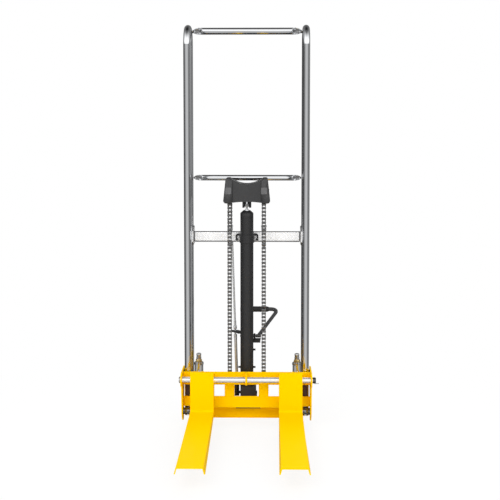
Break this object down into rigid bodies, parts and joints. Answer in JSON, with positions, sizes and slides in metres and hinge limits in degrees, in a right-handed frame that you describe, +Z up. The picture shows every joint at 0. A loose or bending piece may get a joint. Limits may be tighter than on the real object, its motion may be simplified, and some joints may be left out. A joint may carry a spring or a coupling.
{
  "type": "hand pallet stacker",
  "caption": "Hand pallet stacker: chromed tube mast, foot-pumped ram with chain-hung fork carriage, straddle legs with load rollers, and braked swivel casters at the back.",
  "frame": {"origin": "on the floor under the middle of the whole: midway between fork tips and caster wheels, and between the two mast tubes", "axes": "+Z up along the mast; forks point to -Y and the operator's side is +Y; +X is the operator's right hand when looking back over the forks, the picture's right"},
  "size_m": [0.593, 1.072, 1.745],
  "materials": {
    "yellow_paint": "Glossy yellow powder coat",
    "black_paint": "Satin black paint",
    "black_cast": "Black painted casting, slightly grainy",
    "chromed_tube": "Bright hard chrome",
    "bright_shaft": "Turned bright steel, lightly oiled",
    "plated_steel": "Zinc plated steel",
    "dark_steel": "Dark hardened steel, oiled",
    "oiled_chain": "Blued roller chain, oiled",
    "black_plastic": "Moulded black plastic with a fine grain",
    "black_polymer": "Black cast polyamide",
    "black_rubber": "Matt black rubber sleeve",
    "wheel_tyre": "Black polyurethane tread on a nylon centre"
  },
  "bodies": {
    "frame": {"mast_tube_left": "chromed_tube", "mast_tube_right": "chromed_tube", "handle_bar": "chromed_tube", "middle_cross_bar": "chromed_tube", "tie_bar": "plated_steel", "tie_bar_plates": "plated_steel", "cylinder_clamp": "black_paint", "clamp_bolts": "plated_steel", "base_cross_beam": "yellow_paint", "base_side_plates": "yellow_paint", "straddle_leg_left": "yellow_paint", "straddle_leg_right": "yellow_paint", "frame_pins": "plated_steel", "caster_sleeves": "plated_steel", "lift_cylinder": "black_paint", "cylinder_gland": "black_paint", "pump_block": "black_cast", "pump_barrel": "black_paint", "pedal_bracket": "black_paint", "rod_guide": "black_paint", "mast_chain_studs": "plated_steel", "rear_chains": "oiled_chain"},
    "lift_head": {"lift_ram": "chromed_tube", "head_yoke": "black_paint", "wheel_axle": "plated_steel", "chain_cover": "black_plastic", "front_chain_left": "oiled_chain", "front_chain_right": "oiled_chain"},
    "chain_wheel_left_body": {"chain_wheel_left": "dark_steel"},
    "chain_wheel_right_body": {"chain_wheel_right": "dark_steel"},
    "carriage": {"carriage_side_left": "yellow_paint", "carriage_side_right": "yellow_paint", "carriage_upper_plate": "yellow_paint", "carriage_lower_plate": "yellow_paint", "chain_tabs": "yellow_paint", "carriage_chain_studs": "plated_steel", "fork_shaft": "bright_shaft", "shaft_pin": "plated_steel", "roller_pins": "plated_steel"},
    "upper_guide_roller_left": {"guide_roller_upper_left": "dark_steel"},
    "upper_guide_roller_right": {"guide_roller_upper_right": "dark_steel"},
    "lower_guide_roller_left": {"guide_roller_lower_left": "dark_steel"},
    "lower_guide_roller_right": {"guide_roller_lower_right": "dark_steel"},
    "left_fork": {"fork_left": "yellow_paint"},
    "right_fork": {"fork_right": "yellow_paint"},
    "left_load_roller": {"load_roller_left": "black_polymer"},
    "right_load_roller": {"load_roller_right": "black_polymer"},
    "foot_pedal": {"pedal_lever": "black_paint", "pedal_sleeve": "black_rubber"},
    "plunger": {"pump_plunger": "chromed_tube", "plunger_spring": "plated_steel"},
    "release_handle": {"release_lever": "black_paint"},
    "pull_rod": {"release_rod": "plated_steel"},
    "valve_spindle": {"valve_arm": "black_paint"},
    "left_caster": {"caster_fork_left": "plated_steel"},
    "right_caster": {"caster_fork_right": "plated_steel"},
    "left_caster_wheel": {"caster_wheel_left": "wheel_tyre"},
    "right_caster_wheel": {"caster_wheel_right": "wheel_tyre"},
    "left_brake": {"caster_brake_left": "black_paint"},
    "right_brake": {"caster_brake_right": "black_paint"}
  },
  "joints": [
    {"name": "ram_lift", "type": "slide", "parent": "frame", "child": "lift_head", "axis": [0, 0, 1], "range_m": [0, 0.705], "deforming": ["rear_chains"]},
    {"name": "carriage_lift", "type": "slide", "parent": "lift_head", "child": "carriage", "axis": [0, 0, 1], "range_m": [0, 0.705], "deforming": ["front_chain_left", "front_chain_right"]},
    {"name": "chain_wheel_turn_left", "type": "hinge", "parent": "lift_head", "child": "chain_wheel_left_body", "pos_m": [-0.074, 0.246, 1.03], "axis": [-1, 0, 0], "range_deg": [0, 1134.4]},
    {"name": "chain_wheel_turn_right", "type": "hinge", "parent": "lift_head", "child": "chain_wheel_right_body", "pos_m": [0.074, 0.246, 1.03], "axis": [-1, 0, 0], "range_deg": [0, 1134.4]},
    {"name": "upper_roller_spin_left", "type": "hinge", "parent": "carriage", "child": "upper_guide_roller_left", "pos_m": [-0.256, 0.2368, 0.225], "axis": [1, 0, 0], "continuous": true},
    {"name": "lower_roller_spin_left", "type": "hinge", "parent": "carriage", "child": "lower_guide_roller_left", "pos_m": [-0.256, 0.1792, 0.071], "axis": [1, 0, 0], "continuous": true},
    {"name": "upper_roller_spin_right", "type": "hinge", "parent": "carriage", "child": "upper_guide_roller_right", "pos_m": [0.256, 0.2368, 0.225], "axis": [1, 0, 0], "continuous": true},
    {"name": "lower_roller_spin_right", "type": "hinge", "parent": "carriage", "child": "lower_guide_roller_right", "pos_m": [0.256, 0.1792, 0.071], "axis": [1, 0, 0], "continuous": true},
    {"name": "fork_slide_left", "type": "slide", "parent": "carriage", "child": "left_fork", "axis": [-1, 0, 0], "range_m": [-0.13, 0.03]},
    {"name": "fork_slide_right", "type": "slide", "parent": "carriage", "child": "right_fork", "axis": [1, 0, 0], "range_m": [-0.13, 0.03]},
    {"name": "load_roller_spin_left", "type": "hinge", "parent": "frame", "child": "left_load_roller", "pos_m": [-0.19, -0.257, 0.025], "axis": [1, 0, 0], "continuous": true},
    {"name": "load_roller_spin_right", "type": "hinge", "parent": "frame", "child": "right_load_roller", "pos_m": [0.19, -0.257, 0.025], "axis": [1, 0, 0], "continuous": true},
    {"name": "pedal_swing", "type": "hinge", "parent": "frame", "child": "foot_pedal", "pos_m": [0, 0.286, 0.378], "axis": [-1, 0, 0], "range_deg": [0, 35], "stiffness_Nm_per_rad": 6, "springref_deg": -28.65},
    {"name": "plunger_stroke", "type": "slide", "parent": "frame", "child": "plunger", "axis": [0, 0, -1], "range_m": [0, 0.022], "deforming": ["plunger_spring"]},
    {"name": "release_swing", "type": "hinge", "parent": "frame", "child": "release_handle", "pos_m": [-0.0667, 0.32767, 0.81882], "axis": [-1, 0, 0], "range_deg": [0, 20], "stiffness_Nm_per_rad": 1, "springref_deg": -34.38},
    {"name": "pull_rod_stroke", "type": "slide", "parent": "frame", "child": "pull_rod", "axis": [-0.0326, 0, 0.9995], "range_m": [0, 0.0085]},
    {"name": "valve_turn", "type": "hinge", "parent": "frame", "child": "valve_spindle", "pos_m": [-0.028, 0.28841, 0.12283], "axis": [1, 0, 0], "range_deg": [0, 26]},
    {"name": "caster_swivel_left", "type": "hinge", "parent": "frame", "child": "left_caster", "pos_m": [-0.227, 0.453, 0.112], "axis": [0, 0, 1], "continuous": true},
    {"name": "caster_wheel_spin_left", "type": "hinge", "parent": "left_caster", "child": "left_caster_wheel", "pos_m": [-0.227, 0.485, 0.05], "axis": [1, 0, 0], "continuous": true},
    {"name": "brake_press_left", "type": "hinge", "parent": "left_caster", "child": "left_brake", "pos_m": [-0.227, 0.465, 0.106], "axis": [-1, 0, 0], "range_deg": [0, 4.7]},
    {"name": "caster_swivel_right", "type": "hinge", "parent": "frame", "child": "right_caster", "pos_m": [0.227, 0.453, 0.112], "axis": [0, 0, 1], "continuous": true},
    {"name": "caster_wheel_spin_right", "type": "hinge", "parent": "right_caster", "child": "right_caster_wheel", "pos_m": [0.227, 0.485, 0.05], "axis": [1, 0, 0], "continuous": true},
    {"name": "brake_press_right", "type": "hinge", "parent": "right_caster", "child": "right_brake", "pos_m": [0.227, 0.465, 0.106], "axis": [-1, 0, 0], "range_deg": [0, 4.7]}
  ],
  "couplings": [
    {"joint": "carriage_lift", "follows": "ram_lift", "ratio": 1},
    {"joint": "chain_wheel_turn_left", "follows": "ram_lift", "rad_per_m": 28.034},
    {"joint": "chain_wheel_turn_right", "follows": "ram_lift", "rad_per_m": 28.034},
    {"joint": "plunger_stroke", "follows": "pedal_swing", "m_per_rad": 0.034},
    {"joint": "pull_rod_stroke", "follows": "release_swing", "m_per_rad": 0.022},
    {"joint": "valve_turn", "follows": "release_swing", "ratio": 1.2222}
  ]
}
